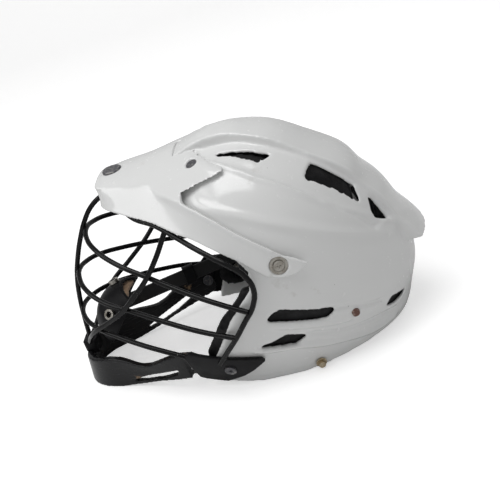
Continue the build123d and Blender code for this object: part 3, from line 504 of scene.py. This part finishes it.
def softened(piece, rims, rounds, front=None):
    """Smooths a piece's skin but not its rims, and at will only its front."""
    gaps = np.array([rims.find(vert.co)[2] for vert in piece.data.vertices]) / MM
    share = 1 - ramp_down(gaps, *RIM_KEEP)
    if front:
        share *= ramp_down(skin_arrays(piece)[0][:, 1], *front)
    group = piece.vertex_groups.new(name="Skin")
    for i in np.flatnonzero(share > LEAST_SHARE):
        group.add([int(i)], float(share[i]), "ADD")
    smoothing(piece, "Even skin", rounds).vertex_group = group.name
    applied(piece)
    shade_smooth(piece)


def seam_closed(visor):
    """Pushes the middle of the visor's rear edge back against the crest."""
    places = skin_arrays(visor)[0]
    share = 1 - ramp_down(places[:, 1], *SEAM_REACH)
    share *= np.abs(places[:, 0]) < SEAM_HALF_WIDTH
    places[:, 1] += SEAM_PUSH * share
    moved(visor, places)


def guard_dipped(guard):
    """Lowers the chin guard's top lip along each arm."""
    places = skin_arrays(guard)[0]
    sides = 1 - ramp_down(np.abs(places[:, 0]), *GUARD_DIP_SIDE)
    high = 1 - ramp_down(places[:, 2], *GUARD_DIP_HEIGHT)
    along = np.exp(-((places[:, 1] - GUARD_DIP_PLACE) / GUARD_DIP_REACH) ** 2)
    places[:, 2] -= GUARD_DIP * along * sides * high
    moved(guard, places)


def rounded(points):
    """A line of points with its corners cut twice."""
    for _ in range(2):
        middle = []
        for one, two in zip(points, points[1:]):
            middle.append(one * (1 - CORNER_CUT) + two * CORNER_CUT)
            middle.append(one * CORNER_CUT + two * (1 - CORNER_CUT))
        points = [points[0], *middle, points[-1]]
    return points


def pressed(piece, lines, middle):
    """Presses or raises lines on a piece's outer skin, alike on both sides."""
    places, normals = skin_arrays(piece)
    outward = places - np.array(middle)
    outward /= np.linalg.norm(outward, axis=1)[:, None]
    outer = 1 - ramp_down(np.einsum("ij,ij->i", normals, outward), *OUTER_FACING)
    mirrored = np.abs(places) * np.sign(places * (0, 1, 1) + (1, 0, 0))
    lift = np.zeros(len(places))
    for points, height, half_width in lines:
        line = np.array(rounded([np.array(point, float) for point in points]))
        reach = LINE_REACH * half_width
        near = np.all((mirrored > line.min(0) - reach) & (mirrored < line.max(0) + reach), axis=1)
        spots = mirrored[near]
        best = np.full(len(spots), np.inf)
        for start, end in zip(line, line[1:]):
            run = end - start
            share = np.clip((spots - start) @ run / (run @ run), 0, 1)
            gap = spots - start - share[:, None] * run
            best = np.minimum(best, np.einsum("ij,ij->i", gap, gap))
        ends = np.minimum(np.linalg.norm(spots - line[0], axis=1), np.linalg.norm(spots - line[-1], axis=1))
        fade = np.clip(ends / reach, 0, 1)
        lift[near] += height * np.exp(-best / half_width ** 2) * fade
    moved(piece, places + outward * (lift * outer)[:, None])


def thickened(piece, depth, middle):
    """Swells a pad's inner face towards the helmet's middle."""
    places, normals = skin_arrays(piece)
    inward = np.array(middle) - places
    inward /= np.linalg.norm(inward, axis=1)[:, None]
    facing = np.clip(np.einsum("ij,ij->i", normals, inward), 0, 1)
    moved(piece, places + inward * (depth * np.minimum(facing * FACING_GAIN, 1))[:, None])


def shade_smooth(piece):
    """Shades a piece without facets."""
    piece.data.polygons.foreach_set("use_smooth", [True] * len(piece.data.polygons))
    piece.data.update()


def wire_curve(name, points, node, body, material, radius):
    """A round wire along a smooth line of points in millimetres."""
    curve = bpy.data.curves.new(name, "CURVE")
    curve.dimensions = "3D"
    curve.bevel_depth = radius
    curve.bevel_resolution = 5
    curve.resolution_u = 10
    curve.use_fill_caps = True
    spline = curve.splines.new("BEZIER")
    spline.bezier_points.add(len(points) - 1)
    for knot, place in zip(spline.bezier_points, points):
        knot.co = Vector(place) * MM
        knot.handle_left_type = knot.handle_right_type = "AUTO"
    new_piece(name, curve, node, body, material)


def both_sides(points):
    """A centre-to-end line carried on to the wearer's right."""
    return [(-x, y, z) for x, y, z in points[:0:-1]] + points


def dress_node(node, material):
    """Gives a CAD node a finish and lets its shape stand."""
    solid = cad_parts[node]
    solid.data.materials.clear()
    solid.data.materials.append(material)


# What a user may change


class HelmetSizes(bpy.types.PropertyGroup):
    """Sizes of the helmet's dressed pieces."""

    wire_radius: bpy.props.FloatProperty(
        name="Wire radius", description="Radius of the mask's coated wires",
        default=0.0024, unit="LENGTH")
    edge_voxel: bpy.props.FloatProperty(
        name="Moulding detail", description="Mesh size of the moulded shell and visor",
        default=0.0014, unit="LENGTH")
    pad_voxel: bpy.props.FloatProperty(
        name="Pad detail", description="Mesh size of the liner's pads",
        default=0.003, unit="LENGTH")


class HelmetColours(bpy.types.PropertyGroup):
    """Colours of the helmet's finishes."""

    shell: bpy.props.FloatVectorProperty(
        name="Shell", description="Colour of the shell and the visor",
        default=(0.80, 0.805, 0.80), subtype="COLOR")
    wire: bpy.props.FloatVectorProperty(
        name="Wire", description="Colour of the mask's coating",
        default=(0.006, 0.006, 0.0065), subtype="COLOR")
    guard: bpy.props.FloatVectorProperty(
        name="Chin guard", description="Colour of the black mouldings",
        default=(0.009, 0.009, 0.010), subtype="COLOR")
    foam: bpy.props.FloatVectorProperty(
        name="Liner", description="Colour of the liner's vinyl",
        default=(0.008, 0.008, 0.0085), subtype="COLOR")
    lining: bpy.props.FloatVectorProperty(
        name="Cup lining", description="Colour of the chin cup's lining",
        default=(0.50, 0.33, 0.20), subtype="COLOR")
    floor: bpy.props.FloatVectorProperty(
        name="Floor", description="Colour of the floor and the backdrop",
        default=(0.80, 0.80, 0.80), subtype="COLOR")


# Materials that are already made, by their short names
finishes = {}


def finish_of(name):
    """A material by its short name, made when first asked for."""
    colours = bpy.context.scene.helmet_colours
    makers = {
        "shell": lambda: white_shell_plastic(tuple(colours.shell)),
        "wire": lambda: black_wire_coating(tuple(colours.wire)),
        "guard": lambda: black_guard_plastic(tuple(colours.guard), 0.8),
        "moulded": lambda: black_moulded_plastic(tuple(colours.guard)),
        "steel": lambda: plated_metal("Plated steel", (0.46, 0.44, 0.40), 0.28, (0.24, 0.21, 0.17)),
        "brass": lambda: plated_metal("Plated brass", (0.66, 0.56, 0.40), 0.32, (0.35, 0.25, 0.14)),
        "dark": lambda: painted_rivet("Dark rivet", (0.09, 0.09, 0.10), (0.30, 0.29, 0.28)),
        "red": lambda: painted_rivet("Red-brown rivet", (0.13, 0.06, 0.045), (0.34, 0.26, 0.22)),
        "foam": lambda: vinyl_foam(tuple(colours.foam)),
        "lining": lambda: suede_lining(tuple(colours.lining)),
        "webbing": lambda: webbing_weave(tuple(colours.guard)),
    }
    if name not in finishes:
        finishes[name] = makers[name]()
    return finishes[name]


class HELMET_OT_stage(bpy.types.Operator):
    """Floor, backdrop, lights and camera"""

    bl_idname = "helmet.stage"
    bl_label = "Stage"

    def execute(self, context):
        colours = context.scene.helmet_colours
        floor_mesh = bpy.data.meshes.new("floor")
        rows = [(FLOOR_REACH, 0.0)]
        for i in range(FLOOR_BEND_STEPS + 1):
            angle = i / FLOOR_BEND_STEPS * pi / 2
            rows.append((FLOOR_BACK - sin(angle) * FLOOR_BEND, FLOOR_BEND - cos(angle) * FLOOR_BEND))
        rows.append((FLOOR_BACK - FLOOR_BEND, BACKDROP_HEIGHT))
        verts = [(x, side * FLOOR_REACH, z) for x, z in rows for side in (-1, 1)]
        faces = [(2 * i, 2 * i + 1, 2 * i + 3, 2 * i + 2) for i in range(len(rows) - 1)]
        floor_mesh.from_pydata(verts, [], faces)
        floor = bpy.data.objects.new("floor", floor_mesh)
        context.scene.collection.objects.link(floor)
        shade_smooth(floor)
        paint = Finish("Pale floor", tuple(colours.floor), 0.9)
        path = paint.node("ShaderNodeLightPath")
        paint.shader.inputs["Specular IOR Level"].default_value = 0.1
        glow = paint.node("ShaderNodeEmission")
        glow.inputs["Color"].default_value = (1, 1, 1, 1)
        glow.inputs["Strength"].default_value = FLOOR_GLOW
        both = paint.node("ShaderNodeAddShader")
        choice = paint.node("ShaderNodeMixShader")
        paint.join(paint.shader.outputs[0], both.inputs[0])
        paint.join(glow.outputs[0], both.inputs[1])
        paint.join(path.outputs["Is Camera Ray"], choice.inputs[0])
        paint.join(paint.shader.outputs[0], choice.inputs[1])
        paint.join(both.outputs[0], choice.inputs[2])
        paint.join(choice.outputs[0], paint.tree.nodes["Material Output"].inputs["Surface"])
        floor_mesh.materials.append(paint.material)
        world = bpy.data.worlds.new("Studio")
        context.scene.world = world
        world.use_nodes = True
        sky = world.node_tree
        light = sky.nodes["Background"]
        light.inputs["Color"].default_value = (1, 1, 1, 1)
        light.inputs["Strength"].default_value = SKY_LIGHT
        seen = sky.nodes.new("ShaderNodeBackground")
        seen.inputs["Color"].default_value = (1, 1, 1, 1)
        seen.inputs["Strength"].default_value = SKY_SEEN
        rays = sky.nodes.new("ShaderNodeLightPath")
        choice = sky.nodes.new("ShaderNodeMixShader")
        sky.links.new(rays.outputs["Is Camera Ray"], choice.inputs[0])
        sky.links.new(light.outputs[0], choice.inputs[1])
        sky.links.new(seen.outputs[0], choice.inputs[2])
        sky.links.new(choice.outputs[0], sky.nodes["World Output"].inputs["Surface"])
        for name, place, size, power in LAMPS:
            lamp = bpy.data.lights.new(name, "AREA")
            lamp.energy = power
            lamp.size = size
            holder = bpy.data.objects.new(name, lamp)
            context.scene.collection.objects.link(holder)
            holder.location = place
            aim = Vector(LAMP_AIM) - Vector(place)
            holder.rotation_euler = aim.to_track_quat("-Z", "Y").to_euler()
        camera = bpy.data.cameras.new("camera")
        camera.sensor_width = 36
        camera.lens = CAMERA_LENS
        camera.shift_x, camera.shift_y = CAMERA_SHIFT
        holder = bpy.data.objects.new("camera", camera)
        context.scene.collection.objects.link(holder)
        turn = Matrix((CAMERA_RIGHT, CAMERA_UP, CAMERA_BACK)).transposed()
        holder.matrix_world = Matrix.Translation(CAMERA_PLACE) @ turn.to_4x4()
        context.scene.camera = holder
        context.scene.view_settings.view_transform = "Standard"
        return {"FINISHED"}


class HELMET_OT_shell(bpy.types.Operator):
    """White shell and visor"""

    bl_idname = "helmet.shell"
    bl_label = "Shell and visor"

    def execute(self, context):
        voxel = context.scene.helmet_sizes.edge_voxel
        white = finish_of("shell")
        shell = moulded("shell_body", "outer_shell", "root", white, voxel, rounds=6)
        softened(shell, rim_places("outer_shell", SHELL_RIM_ANGLE), rounds=40)
        pressed(shell, SHELL_LINES, SHELL_MIDDLE)
        relaxed(shell, passes=40)
        fine = voxel * VISOR_FINENESS
        visor = moulded("visor_body", "visor", "root", white, fine, rounds=14)
        rims = rim_places("visor", VISOR_RIM_ANGLE)
        softened(visor, rims, rounds=120)
        softened(visor, rims, rounds=1000, front=VISOR_FRONT)
        seam_closed(visor)
        pressed(visor, VISOR_LINES, SHELL_MIDDLE)
        relaxed(visor, passes=50)
        return {"FINISHED"}


class HELMET_OT_mask(bpy.types.Operator):
    """Welded wires of the face mask"""

    bl_idname = "helmet.mask"
    bl_label = "Face mask"

    def execute(self, context):
        radius = context.scene.helmet_sizes.wire_radius
        for name, line, node in (
            ("perimeter_wire", both_sides(PERIMETER_WIRE), "mask_perimeter_wire"),
            ("centre_bar", CENTRE_BAR, "mask_centre_bar"),
            ("side_bars", both_sides(SIDE_BARS), "mask_side_bars"),
            ("upper_crossbar", both_sides(UPPER_CROSSBAR), "mask_upper_crossbar"),
            ("middle_crossbar", both_sides(MIDDLE_CROSSBAR), "mask_middle_crossbar"),
            ("lower_crossbar", both_sides(LOWER_CROSSBAR), "mask_lower_crossbar"),
        ):
            wire_curve(name, line, node, "root", finish_of("wire"), radius)
        return {"FINISHED"}


class HELMET_OT_guard(bpy.types.Operator):
    """Chin guard, jaw brackets and wire clips"""

    bl_idname = "helmet.guard"
    bl_label = "Chin guard"

    def execute(self, context):
        glossy = finish_of("guard")
        guard = moulded("chin_guard_body", "chin_guard", "root", glossy, GUARD_VOXEL, rounds=5)
        guard_dipped(guard)
        for node in ("jaw_bracket_left", "jaw_bracket_right", "visor_tip_clip", "chin_wire_clip"):
            moulded(node + "_body", node, "root", finish_of("moulded"), CLIP_VOXEL, rounds=4)
        return {"FINISHED"}


class HELMET_OT_hardware(bpy.types.Operator):
    """Screws, washers, rivets and studs"""

    bl_idname = "helmet.hardware"
    bl_label = "Hardware"

    def execute(self, context):
        for node in ("visor_cup_washers", "visor_wing_screws", "shell_nuts"):
            dress_node(node, finish_of("steel"))
        for node in ("jaw_bracket_screws", "chin_guard_screws"):
            dress_node(node, finish_of("dark"))
        for node in ("visor_plate_rivets", "visor_tip_disc"):
            dress_node(node, finish_of("dark"))
        dress_node("strap_snap_studs", finish_of("brass"))
        dress_node("cradle_pins", finish_of("red"))
        return {"FINISHED"}


class HELMET_OT_liner(bpy.types.Operator):
    """Foam pads of the liner and the nape cradle"""

    bl_idname = "helmet.liner"
    bl_label = "Liner"

    def execute(self, context):
        voxel = context.scene.helmet_sizes.pad_voxel
        foam = finish_of("foam")
        for node in (
            "temple_pad_left", "temple_pad_right", "jaw_pad_left", "jaw_pad_right", "crown_side_pad_left",
            "crown_side_pad_right", "brow_pad", "crown_front_pad", "crown_rear_pad", "rear_pad",
            "rear_side_pad_left", "rear_side_pad_right",
        ):
            pad = moulded(node + "_foam", node, "root", foam, voxel, rounds=5)
            relaxed(pad, passes=15)
            if node.startswith("jaw"):
                thickened(pad, PAD_SWELL, SHELL_MIDDLE)
        body = "nape_cradle"
        pad = moulded("nape_pad_foam", "nape_pad", body, foam, SMALL_PAD_VOXEL, rounds=5)
        black = finish_of("moulded")
        moulded("nape_cradle_band", "nape_cradle", body, black, BAND_VOXEL, rounds=3)
        dress_node("cradle_spacers", black)
        return {"FINISHED"}


class HELMET_OT_chin_strap(bpy.types.Operator):
    """Chin cup, its lining, webbing and buckles"""

    bl_idname = "helmet.chin_strap"
    bl_label = "Chin strap"

    def execute(self, context):
        body = "chin_strap"
        black, tan, woven = finish_of("moulded"), finish_of("lining"), finish_of("webbing")
        moulded("chin_cup_shell", "chin_cup", body, black, CUP_VOXEL, rounds=5)
        voxel = SMALL_PAD_VOXEL
        lining = moulded("chin_cup_pad", "chin_cup_lining", body, tan, voxel, rounds=6)
        moulded("chin_webbing", "chin_strap_webbing", body, woven, STRAP_VOXEL, rounds=3)
        moulded("strap_buckle", "strap_slider", "strap_slider", black, STRAP_VOXEL, rounds=3)
        dress_node("cup_snaps", finish_of("steel"))
        dress_node("strap_posts", black)
        return {"FINISHED"}


OPERATORS = (
    HELMET_OT_stage, HELMET_OT_shell, HELMET_OT_mask, HELMET_OT_guard, HELMET_OT_hardware, HELMET_OT_liner,
    HELMET_OT_chin_strap,
)


class HELMET_PT_panel(bpy.types.Panel):
    """Lists the helmet's pieces"""

    bl_label = "Helmet"
    bl_idname = "HELMET_PT_panel"
    bl_space_type = "VIEW_3D"
    bl_region_type = "UI"
    bl_category = "Helmet"

    def draw(self, context):
        for settings in (context.scene.helmet_sizes, context.scene.helmet_colours):
            for name in settings.bl_rna.properties.keys():
                if name not in ("rna_type", "name"):
                    self.layout.prop(settings, name)
        for operator in OPERATORS:
            self.layout.operator(operator.bl_idname)


CLASSES = (HelmetSizes, HelmetColours, *OPERATORS, HELMET_PT_panel)


def register():
    for each in CLASSES:
        bpy.utils.register_class(each)
    bpy.types.Scene.helmet_sizes = bpy.props.PointerProperty(type=HelmetSizes)
    bpy.types.Scene.helmet_colours = bpy.props.PointerProperty(type=HelmetColours)


def unregister():
    del bpy.types.Scene.helmet_sizes
    del bpy.types.Scene.helmet_colours
    for each in reversed(CLASSES):
        bpy.utils.unregister_class(each)


def main():
    """Dresses the helmet."""
    register()
    bpy.ops.helmet.stage()
    bpy.ops.helmet.shell()
    bpy.ops.helmet.mask()
    bpy.ops.helmet.guard()
    bpy.ops.helmet.hardware()
    bpy.ops.helmet.liner()
    bpy.ops.helmet.chin_strap()


if __name__ == "__main__":
    main()
